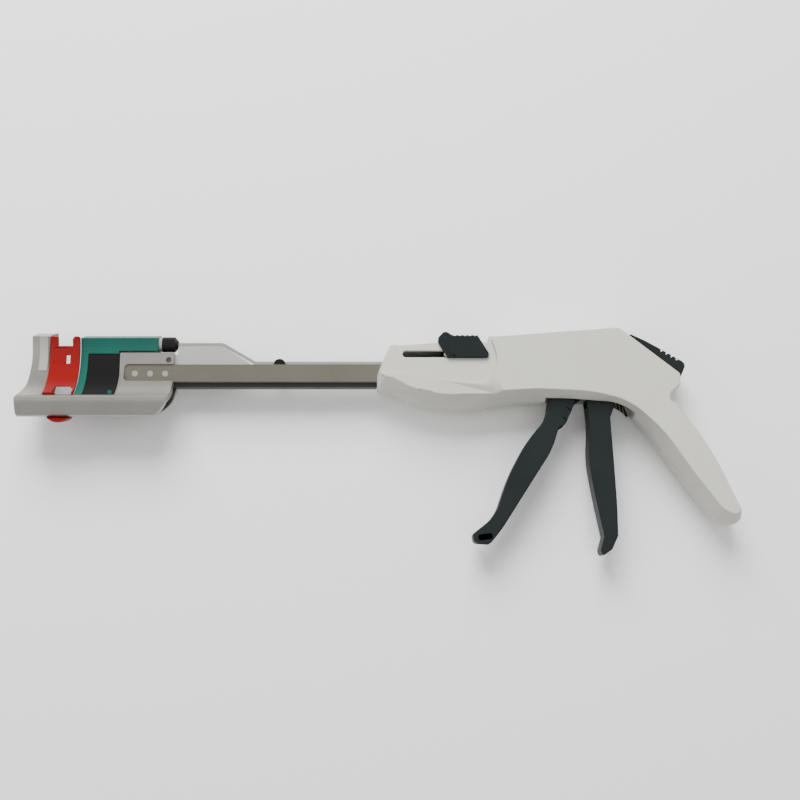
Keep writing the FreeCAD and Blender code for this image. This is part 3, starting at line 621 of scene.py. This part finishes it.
@dataclass
class CuttingHead:
    """The curved jaws: frame, anvil, retainer, cartridge and what is inside them.

    All sizes are in millimetres.

    Attributes:
        dresser: gives finishes and adds pieces.
        workshop: cuts the reworked pieces.
        rail_outer: where the rail's outer rim starts.
        rail_inner: where the rail's inner rim starts.
        rail_length: length of both rims.
        rim_radius: rounding of both rims.
        front_corner: where the lower corner of the frame's front starts.
        front_radius: rounding of that corner.
        front_depth: length of that corner.
        window: the retainer's large lower window, as two corners.
        recess: the recess in the retainer's face, as two corners.
        horn_top: height of the retainer's horns.
        horn_inner_x: the inner sides of the two horns.
        horn_radius: rounding of the horns' tips.
        retainer_edge: how wide a strip of the retainer is brought up to the housing.
        retainer_gap: what stays open between retainer and housing.
        line_heights: where the housing's three raised lines lie.
        line_run: the stations along each line, from end to end.
        line_radius: of the lines.
        line_sink: how deep the lines sit in the surface.
        probe: where a line's surface is looked up, as its X and its Z.
    """

    dresser: Dresser
    workshop: Workshop
    rail_outer: tuple[float, float, float] = (-323.0, -26.7, 30.4)
    rail_inner: tuple[float, float, float] = (-323.0, -16.0, 35.9)
    rail_length: float = 90.0
    rim_radius: float = 2.6
    front_corner: tuple[float, float, float] = (-321.2, -26.8, 25.0)
    front_radius: float = 3.0
    front_depth: float = 16.0
    window: tuple[tuple[float, float, float], tuple[float, float, float]] = (
        (-299.6, -14.1, MID_Z - 30.0), (-290.5, -9.7, MID_Z + 30.0))
    recess: tuple[tuple[float, float, float], tuple[float, float, float]] = (
        (-304.0, 5.4, 21.0), (-297.2, 14.5, 30.0))
    horn_top: float = 21.1
    horn_inner_x: tuple[float, float] = (-301.6, -293.2)
    horn_radius: float = 1.6
    retainer_edge: float = 0.3
    retainer_gap: float = 0.08
    line_heights: tuple[float, float, float] = (18.9, 17.4, 15.9)
    line_run: tuple[float, float, float, float] = (-289.0, -288.5, -273.0, -272.5)
    line_radius: float = 0.24
    line_sink: float = 0.15
    probe: tuple[float, float] = (-282.0, 80.0)

    def build(self) -> None:
        """Dress the head's nodes and rework its frame and retainer."""
        self.dresser.dress_all({
            "anvil_plate": (BRIGHT, 0.1),
            "anvil_insert": (GREY_PLASTIC, 0.15),
            "cartridge_housing": (GREEN, 0.2),
            "cartridge_core": (BLACK, 0.15),
            "staple_driver": (GREY_PLASTIC, 0.1),
            "knife": (BRIGHT, 0.05),
            "lock_pin": (GREEN, 0.1),
            "retaining_pin": (BRIGHT, 0.1),
            "seam_ring": (SPECKLED, 0.1),
            "pin_end_cap": (BLACK, 0.15),
        })
        self._frame()
        self._retainer()
        self._housing_lines()

    def _frame(self) -> None:
        """Round the rims of the frame's rail, as the casting is."""
        shape = self.workshop.copy("c_frame")
        outer = Vector(self.rail_outer)
        inner = Vector(self.rail_inner)
        inward = (inner - outer).normalized()
        down = Vector((0.0, inward.z, -inward.y))
        along = X_DIR * self.rail_length
        cutters = [
            self.workshop.corner_cutter(outer, inward, down, self.rim_radius, along),
            self.workshop.corner_cutter(inner, -inward, down, self.rim_radius, along),
            self.workshop.corner_cutter(Vector(self.front_corner), X_DIR, Y_DIR,
                                        self.front_radius, Z_DIR * self.front_depth),
        ]
        shape = self.workshop.cut(shape, cutters)
        self.workshop.stand_in("c_frame", shape, "frame", CAST, "cast_aluminium",
                               edge=0.25)

    def _retainer(self) -> None:
        """Cut the retainer's recess and window, and bring its edge up to the housing."""
        shape = self.workshop.copy("staple_retainer")
        pockets = [self.workshop.block(*self.window), self.workshop.block(*self.recess)]
        shape = self.workshop.cut(shape, pockets + self._horn_cutters())
        edge_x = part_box("staple_retainer")[1].x
        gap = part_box("cartridge_housing")[0].x - edge_x
        for vert in shape.verts:
            if vert.co.x > edge_x - self.retainer_edge * MM:
                vert.co.x += max(0.0, gap - self.retainer_gap * MM)
        self.workshop.stand_in("staple_retainer", shape, "retainer_clip", RED, "red_plastic",
                               edge=0.2)

    def _horn_cutters(self) -> list[bmesh.types.BMesh]:
        """Cutters that round the tips of the retainer's two horns."""
        low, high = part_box("staple_retainer")
        left_inner, right_inner = self.horn_inner_x
        up = Z_DIR * THROUGH_ALL
        return [self.workshop.corner_cutter(Vector((x, self.horn_top, UNDER_ALL)), X_DIR * way,
                                            -Y_DIR, self.horn_radius, up)
                for x, way in ((low.x / MM, 1.0), (left_inner, -1.0), (right_inner, 1.0),
                               (high.x / MM, -1.0))]

    def _housing_lines(self) -> None:
        """Three fine raised lines along the cartridge housing."""
        housing = bmesh.new()
        housing.from_mesh(self.dresser.frame["nodes"]["cartridge_housing"].data)
        tree = BVHTree.FromBMesh(housing)
        probe_x, probe_z = self.probe
        for number, y in enumerate(self.line_heights):
            spot = tree.ray_cast(Vector((probe_x, y, probe_z)) * MM, -Z_DIR)[0]
            if spot is None:
                continue
            path = [Vector((x, y, spot.z / MM - self.line_sink)) for x in self.line_run]
            mesh = self.workshop.tube(path, self.line_radius)
            self.dresser.add(f"housing_line_{number}", mesh, "closing_channel", GREEN,
                             "green_plastic")
        housing.free()


@dataclass
class Shaft:
    """The two long plates, the channel between them, the rods and their pins.

    Attributes:
        dresser: gives the finishes.
    """

    dresser: Dresser

    def build(self) -> None:
        """Dress the shaft's nodes."""
        self.dresser.dress_all({
            "near_handle_plate": (PLATE, 0.25),
            "far_handle_plate": (PLATE, 0.25),
            "frame_rivets": (BRIGHT, 0.15),
            "plate_cross_pins": (BRIGHT, 0.15),
            "rod_guide_clip": (BLACK, 0.2),
            "closure_channel": (PANEL, 0.15),
            "closure_pin": (BRIGHT, 0.1),
            "firing_bar": (DARK_STEEL, 0.1),
            "push_rod": (BRIGHT, 0.15),
            "rod_coupler": (BLACK, 0.15),
            "saddle_crossbar": (BRIGHT, 0.1),
        })


@dataclass
class Handle:
    """The two casing shells with the triggers, saddle, button and springs.

    All sizes are in millimetres and degrees.

    Attributes:
        dresser: gives finishes and adds pieces.
        workshop: cuts the reworked pieces.
        boss: the belly's screw boss, as its X, Y and radius.
        boss_probes: how many spots round the boss are looked up.
        belly_edge: where the lowered edge over the belly starts and ends along X.
        belly_top: the height that the lowered edge lies under.
        belly_drop: how far the edge is lowered in its middle.
        belly_still: the half thickness round the parting line that stays.
        crease: the cheek's crease, as its start's X and Y and its end's X.
        crease_slope: how steeply the crease falls.
        cheek_sink: how steeply the cheek sinks towards the triggers.
        cheek_wall: how steep the wall under the crease is.
        cheek_floor: the height down to which the cheek is cut.
        back: what is trimmed off along the slanted back.
        slits: the middles of the two slits in the firing trigger's head.
        slit_size: their length and width.
        slit_turn: the angle of their length from X.
        slit_depth: their depth.
        tip: the middle of the recess in the firing trigger's tip.
        tip_size: its length and width.
        tip_turn: the angle of its length from X.
        tip_depth: its depth.
        button_top: the button's outline before the notched side.
        button_side: the two ends of the notched side.
        button_under: the button's outline after the notched side.
        notches: how many grip notches the button has.
        notch_start: from the notched side's start to the first notch.
        notch_pitch: from notch to notch.
        notch_size: width and depth of a notch.
        bead: the path down the front of a cheek of the saddle.
        bead_radius: of that bead.
        bead_inset: how far the near and the far bead lie inside the saddle's faces.
        opening: the outline of the black sheet that paints the shade inside the trigger opening.
        opening_floor: its height.
        opening_thick: its thickness.
        ribs: the places of its ribs along X.
        rib_top: the height at which the first rib starts.
        rib_drop: how much lower each next rib starts, as a share of its X.
        rib_slant: how far a rib leans.
        rib_wide: width of a rib.
        rib_long: length of a rib.
        rib_thick: thickness of a rib.
    """

    dresser: Dresser
    workshop: Workshop
    boss: tuple[float, float, float] = (-96.0, -12.6, 3.4)
    boss_probes: int = 36
    belly_edge: tuple[float, float] = (-112.0, -34.0)
    belly_top: float = -3.0
    belly_drop: float = 2.3
    belly_still: float = 3.0
    crease: tuple[float, float, float] = (-93.3, -4.2, -30.0)
    crease_slope: float = 10.0
    cheek_sink: float = 2.4
    cheek_wall: float = 31.0
    cheek_floor: float = -40.0
    back: tuple[tuple[float, float], ...] = ((15.4, 21.6), (26.0, 13.6), (30.0, 19.0),
                                             (19.4, 27.0))
    slits: tuple[tuple[float, float], ...] = ((-17.4, -20.5), (-19.7, -25.9))
    slit_size: tuple[float, float] = (3.2, 0.7)
    slit_turn: float = -42.0
    slit_depth: float = 0.8
    tip: tuple[float, float] = (-64.3, -90.9)
    tip_size: tuple[float, float] = (8.0, 3.4)
    tip_turn: float = 8.0
    tip_depth: float = 1.6
    button_top: tuple[tuple[float, float], ...] = ((17.8, 22.2), (26.0, 18.4))
    button_side: tuple[tuple[float, float], ...] = ((33.6, 14.1), (46.4, 6.6))
    button_under: tuple[tuple[float, float], ...] = (
        (47.6, 5.2), (47.8, 3.6), (45.4, -2.0), (43.6, -2.0), (30.4, 8.0), (18.0, 16.6))
    notches: int = 4
    notch_start: float = 1.6
    notch_pitch: float = 3.2
    notch_size: tuple[float, float] = (0.9, 1.1)
    bead: tuple[tuple[float, float], ...] = (
        (-86.6, 19.6), (-85.6, 17.4), (-85.0, 14.6), (-84.2, 11.8), (-82.6, 9.4), (-80.2, 7.9))
    bead_radius: float = 1.25
    bead_inset: tuple[float, float] = (0.7, 1.25)
    opening: tuple[tuple[float, float], ...] = (
        (-26.0, -9.0), (-26.0, -12.0), (-8.0, -12.2), (2.0, -13.6), (9.4, -16.4),
        (14.6, -20.2), (17.2, -22.9), (17.9, -22.0), (15.4, -16.6), (6.0, -11.0))
    opening_floor: float = 7.05
    opening_thick: float = 0.3
    ribs: tuple[float, ...] = (10.4, 12.6, 14.6)
    rib_top: float = -13.0
    rib_drop: float = 0.9
    rib_slant: float = 0.8
    rib_wide: float = 0.5
    rib_long: float = 4.4
    rib_thick: float = 0.1

    def build(self) -> None:
        """Dress the handle's nodes and rework its shells, trigger and button."""
        self.dresser.dress_all({
            "saddle_slide": (CHARCOAL, 0.25),
            "closure_trigger": (CHARCOAL, 0.25),
            "casing_screws": (BRIGHT, 0.1),
            "trigger_axle": (BRIGHT, 0.1),
            "button_pin": (DARK_STEEL, 0.1),
            "button_spring": (BRIGHT, 0.0),
            "closure_return_spring": (BRIGHT, 0.0),
        })
        self._shell("near_casing_shell", 1)
        self._shell("far_casing_shell", -1)
        self._firing_trigger()
        self._button()
        self._saddle_beads()
        self._opening_shade_sheet()

    def _shell(self, node: str, side: int) -> None:
        """Trim a shell's boss, lower its belly's edge, and cut its cheek and slanted back.

        Args:
            node: the shell's node.
            side: 1 for the near shell and -1 for the far one.
        """
        shape = self.workshop.copy(node)
        shape = self.workshop.cut(shape, [self._boss_trim(shape, side)])
        self._lower_belly_edge(shape)
        trim = self.workshop.prism(flat(self.back, UNDER_ALL), Z_DIR * THROUGH_ALL)
        shape = self.workshop.cut(shape, [self._cheek(side), trim])
        self.workshop.stand_in(node, shape, "frame", WHITE_CASING, "white_casing",
                               edge=0.5)

    def _boss_trim(self, shape: bmesh.types.BMesh, side: int) -> bmesh.types.BMesh:
        """A block that lies on the belly's slanted face, over the screw boss there.

        The face is the plane that fits the spots round the boss best.

        Args:
            shape: the shell's mesh.
            side: 1 for the near shell and -1 for the far one.

        Returns:
            The block.
        """
        boss_x, boss_y, boss_r = self.boss
        middle, slope_x, slope_y = self._belly_plane(shape, side)
        up = Vector((-slope_x, -slope_y, 1.0)).normalized() * side
        along = Vector((1.0, 0.0, slope_x)).normalized()
        across = up.cross(along)
        middle = Vector((boss_x, boss_y, middle.z + slope_x * (boss_x - middle.x)
                         + slope_y * (boss_y - middle.y)))
        long_reach = boss_r + 0.3
        wide_reach = long_reach + 2.0
        lift, top = 0.02, 7.0
        spots = [middle + along * u * long_reach + across * v * wide_reach + up * w
                 for u in (-1, 1) for v in (-1, 1) for w in (lift, top)]
        return self.workshop.hull([tuple(spot) for spot in spots])

    def _belly_plane(self, shape: bmesh.types.BMesh, side: int) -> tuple[Vector, float, float]:
        """The plane of the belly's slanted face, by least squares.

        Args:
            shape: the shell's mesh.
            side: 1 for the near shell and -1 for the far one.

        Returns:
            A point of the plane and its slopes along X and Y.
        """
        boss_x, boss_y, boss_r = self.boss
        clear = 0.4
        ring_r = boss_r + clear
        least_deep = 2.0
        tree = BVHTree.FromBMesh(shape)
        spots = []
        for step in range(self.boss_probes):
            angle = math.radians(step * 360 / self.boss_probes)
            start = Vector((boss_x + ring_r * math.cos(angle), boss_y + ring_r * math.sin(angle),
                            MID_Z + side * THROUGH_ALL)) * MM
            spot = tree.ray_cast(start, Z_DIR * -side)[0]
            if spot and least_deep < abs(spot.z / MM - MID_Z) < MID_Z - clear:
                spots.append(spot / MM)
        middle = sum(spots, Vector()) / len(spots)
        squares = Matrix(((0.0,) * 3,) * 3)
        products = Vector()
        for spot in spots:
            x, y, z = spot - middle
            row = Vector((x, y, 1.0))
            squares += Matrix([row * value for value in row])
            products += row * z
        slope_x, slope_y, _ = squares.inverted() @ products
        return middle, slope_x, slope_y

    def _lower_belly_edge(self, shape: bmesh.types.BMesh) -> None:
        """Move the edge between the flat side and the belly further down, as in the photo."""
        start_x, end_x = self.belly_edge
        for vert in shape.verts:
            x, y, z = vert.co / MM
            if start_x < x < end_x and y < self.belly_top:
                share = math.sin(math.pi * (x - start_x) / (end_x - start_x))
                height = max(0.0, (abs(z - MID_Z) - self.belly_still)
                             / (MID_Z - self.belly_still))
                vert.co.y -= self.belly_drop * share * height * MM

    def _cheek(self, side: int) -> bmesh.types.BMesh:
        """A wedge that sinks towards the triggers, under a slanted crease.

        Args:
            side: 1 for the near shell and -1 for the far one.

        Returns:
            The wedge.
        """
        start_x, start_y, end_x = self.crease
        run = end_x - start_x
        sink = run * math.tan(math.radians(self.cheek_sink))
        crease_y = start_y - run * math.tan(math.radians(self.crease_slope))
        wall = sink / math.tan(math.radians(self.cheek_wall))
        above = 5.0
        outline = [
            (start_x, start_y, 0.0),
            (end_x, crease_y, 0.0),
            (end_x, crease_y - wall, sink),
            (end_x, self.cheek_floor, sink),
            (start_x, self.cheek_floor, 0.0),
        ]
        points = [(x, y, MID_Z + side * (MID_Z - deep)) for x, y, deep in outline]
        points += [(x, y, MID_Z + side * (MID_Z + above)) for x, y, _ in outline]
        return self.workshop.hull(points)

    def _firing_trigger(self) -> None:
        """Cut the two slits in the firing trigger's head and the recess in its tip."""
        shape = self.workshop.copy("firing_trigger")
        face_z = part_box("firing_trigger")[1].z / MM
        cutters = [self._slit(spot, self.slit_size, self.slit_turn, face_z - self.slit_depth)
                   for spot in self.slits]
        cutters.append(self._slit(self.tip, self.tip_size, self.tip_turn,
                                  face_z - self.tip_depth))
        shape = self.workshop.cut(shape, cutters)
        self.workshop.stand_in("firing_trigger", shape, "firing_lever", CHARCOAL,
                               "charcoal_plastic", edge=0.25)

    def _slit(self, spot: tuple[float, float], size: tuple[float, float], turn: float,
              floor_z: float) -> bmesh.types.BMesh:
        """A narrow pocket cutter with round ends, open upwards.

        Args:
            spot: its middle, in millimetres.
            size: its length and width, in millimetres.
            turn: the angle of its length from X, in degrees.
            floor_z: the height of its floor, in millimetres.

        Returns:
            The cutter.
        """
        along = Vector((math.cos(math.radians(turn)), math.sin(math.radians(turn)), 0.0))
        across = Vector((-along.y, along.x, 0.0))
        centre = Vector((spot[0], spot[1], floor_z))
        corners = 16
        outline = []
        for step in range(corners):
            angle = math.tau * step / corners
            far = math.copysign(abs(math.cos(angle)) ** 0.5, math.cos(angle))
            wide = math.copysign(abs(math.sin(angle)) ** 0.5, math.sin(angle))
            outline.append(centre + along * far * size[0] / 2 + across * wide * size[1] / 2)
        return self.workshop.prism(outline, Z_DIR * 6.0)

    def _button(self) -> None:
        """The release button with its grip notches."""
        low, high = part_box("release_button")
        base = low.z / MM
        notch_wide, notch_deep = self.notch_size
        start, end = flat(self.button_side, base)
        along = (end - start).normalized()
        inward = Vector((along.y, -along.x, 0.0))
        outline = flat(self.button_top, base) + [start]
        for notch in range(self.notches):
            near = start + along * (self.notch_start + notch * self.notch_pitch)
            far = near + along * notch_wide
            outline += [near, near + inward * notch_deep, far + inward * notch_deep, far]
        outline += [end] + flat(self.button_under, base)
        shape = self.workshop.prism(outline, Z_DIR * ((high.z - low.z) / MM))
        self.workshop.stand_in("release_button", shape, "release_key", CHARCOAL,
                               "charcoal_plastic", edge=0.3)

    def _saddle_beads(self) -> None:
        """The rounded bead down the front of each cheek of the saddle."""
        low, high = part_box("saddle_slide")
        near_inset, far_inset = self.bead_inset
        for name, z in (("near", high.z / MM - near_inset), ("far", low.z / MM + far_inset)):
            mesh = self.workshop.tube(flat(self.bead, z), self.bead_radius)
            piece = self.dresser.add(f"saddle_rim_{name}", mesh, "pin_carriage", CHARCOAL,
                                     "charcoal_plastic")
            self.dresser.soften(piece, edge=0.0)

    def _opening_shade_sheet(self) -> None:
        """A thin black sheet painted as the shade inside the trigger opening, with the opening's
        moulded ribs.
        """
        # Painted shade: a thin black sheet stands where the inside of the opening lies in shade.
        shade_sheet = self.workshop.prism(flat(self.opening, self.opening_floor),
                                    Z_DIR * self.opening_thick)
        self.dresser.add("opening_shade_sheet", self.workshop.mesh("opening_shade_sheet", shade_sheet), "frame",
                         BLACK, "black_plastic")
        wide = X_DIR * self.rib_wide
        lean = Vector((self.rib_slant, -self.rib_long, 0.0))
        for number, x in enumerate(self.ribs):
            corner = Vector((x, self.rib_top - (x - self.ribs[0]) * self.rib_drop,
                             self.opening_floor + self.opening_thick))
            rib = self.workshop.prism([corner, corner + wide, corner + wide + lean,
                                       corner + lean], Z_DIR * self.rib_thick)
            self.dresser.add(f"opening_rib_{number}", self.workshop.mesh("opening_rib", rib),
                             "frame", GREY_PLASTIC, "grey_plastic")


@dataclass(frozen=True)
class Lamp:
    """One square area lamp that looks at the stapler.

    Attributes:
        name: the lamp's name.
        place: where it stands, in metres.
        size: its side, in metres.
        power: its power, in watts.
        mirrored: whether glossy surfaces mirror it.
    """

    name: str
    place: tuple[float, float, float]
    size: float
    power: float
    mirrored: bool = True

    def build(self, centre: Vector) -> None:
        """Set the lamp up.

        Args:
            centre: the point that it looks at, in metres.
        """
        data = bpy.data.lights.new(self.name, "AREA")
        data.size = self.size
        data.energy = self.power
        lamp = bpy.data.objects.new(self.name, data)
        lamp.location = self.place
        lamp.rotation_mode = "QUATERNION"
        lamp.rotation_quaternion = (centre - lamp.location).to_track_quat("-Z", "Y")
        bpy.context.scene.collection.objects.link(lamp)
        lamp.visible_glossy = self.mirrored


@dataclass
class Studio:
    """The pale table, the soft lights and the camera.

    Attributes:
        dresser: makes the table's material.
        aim: the point the camera looks at, in millimetres.
        distance: from the camera to that point, in millimetres.
        elevation: of the camera above the table, in degrees.
        lens: focal length, in millimetres.
        sensor: width of the camera's sensor, in millimetres.
        clip: the nearest and the farthest that the camera sees, in metres.
        table_reach: half the table's side, in metres.
        table_gap: from the stapler's lowest point down to the table, in metres.
        lamps: the soft lamps round the stapler.
        sky: strength of the even light from all round.
    """

    dresser: Dresser
    aim: tuple[float, float, float] = (-110.9, -14.2, 15.0)
    distance: float = 700.0
    elevation: float = 80.5
    lens: float = 56.25
    sensor: float = 36.0
    clip: tuple[float, float] = (0.01, 20.0)
    table_reach: float = 3.0
    table_gap: float = 0.0001
    lamps: tuple[Lamp, ...] = (
        Lamp("key_lamp", (-0.30, 1.0, 1.0), 0.9, 40.0, mirrored=False),
        Lamp("fill_lamp", (0.30, -0.20, 1.5), 1.2, 4.0),
        Lamp("side_lamp", (-1.1, 0.10, 0.8), 0.7, 3.0),
    )
    sky: float = 0.6

    def build(self) -> None:
        """Set the table, the camera, the lamps and the surrounding light."""
        self._table()
        self._camera()
        for lamp in self.lamps:
            lamp.build(Vector(self.aim) * MM)
            LOG.info("set %s", lamp.name)
        self._world()

    def _table(self) -> None:
        """A wide pale sheet just under the stapler."""
        shape = bmesh.new()
        low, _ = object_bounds()
        reach = self.table_reach
        spots = [(-reach, -reach), (reach, -reach), (reach, reach), (-reach, reach)]
        shape.faces.new([shape.verts.new((x, y, low.z - self.table_gap)) for x, y in spots])
        mesh = bpy.data.meshes.new("table_top")
        shape.to_mesh(mesh)
        shape.free()
        mesh.materials.append(self.dresser.material(TABLE))
        table = bpy.data.objects.new("table_top", mesh)
        bpy.context.scene.collection.objects.link(table)
        table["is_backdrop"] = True

    def _camera(self) -> None:
        """The camera at the photograph's height and angle."""
        data = bpy.data.cameras.new("camera")
        data.sensor_width = self.sensor
        data.lens = self.lens
        data.clip_start, data.clip_end = self.clip
        camera = bpy.data.objects.new("camera", data)
        tilt = math.radians(self.elevation)
        back = Vector((0.0, -math.cos(tilt), math.sin(tilt)))
        target = Vector(self.aim) * MM
        camera.location = target + back * self.distance * MM
        camera.rotation_mode = "QUATERNION"
        camera.rotation_quaternion = (-back).to_track_quat("-Z", "Y")
        bpy.context.scene.collection.objects.link(camera)
        bpy.context.scene.camera = camera

    def _world(self) -> None:
        """An even pale surrounding light."""
        world = bpy.data.worlds.new("studio")
        world.use_nodes = True
        sky = world.node_tree.nodes["Background"]
        sky.inputs["Color"].default_value = (1.0, 1.0, 1.0, 1.0)
        sky.inputs["Strength"].default_value = self.sky
        bpy.context.scene.world = world


def flat(outline: tuple[tuple[float, float], ...], z: float) -> list[Vector]:
    """The corners of a flat outline at a height, in millimetres."""
    return [Vector((x, y, z)) for x, y in outline]


def corners(box: tuple[Vector, Vector]) -> list[list[float]]:
    """A box's two corners as plain lists."""
    return [list(box[0]), list(box[1])]


def main() -> None:
    """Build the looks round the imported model, piece by piece."""
    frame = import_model()
    dresser = Dresser(frame)
    workshop = Workshop(dresser)
    CuttingHead(dresser, workshop).build()
    Shaft(dresser).build()
    Handle(dresser, workshop).build()
    Studio(dresser).build()


if __name__ == "__main__":
    logging.basicConfig(level=logging.INFO)
    main()
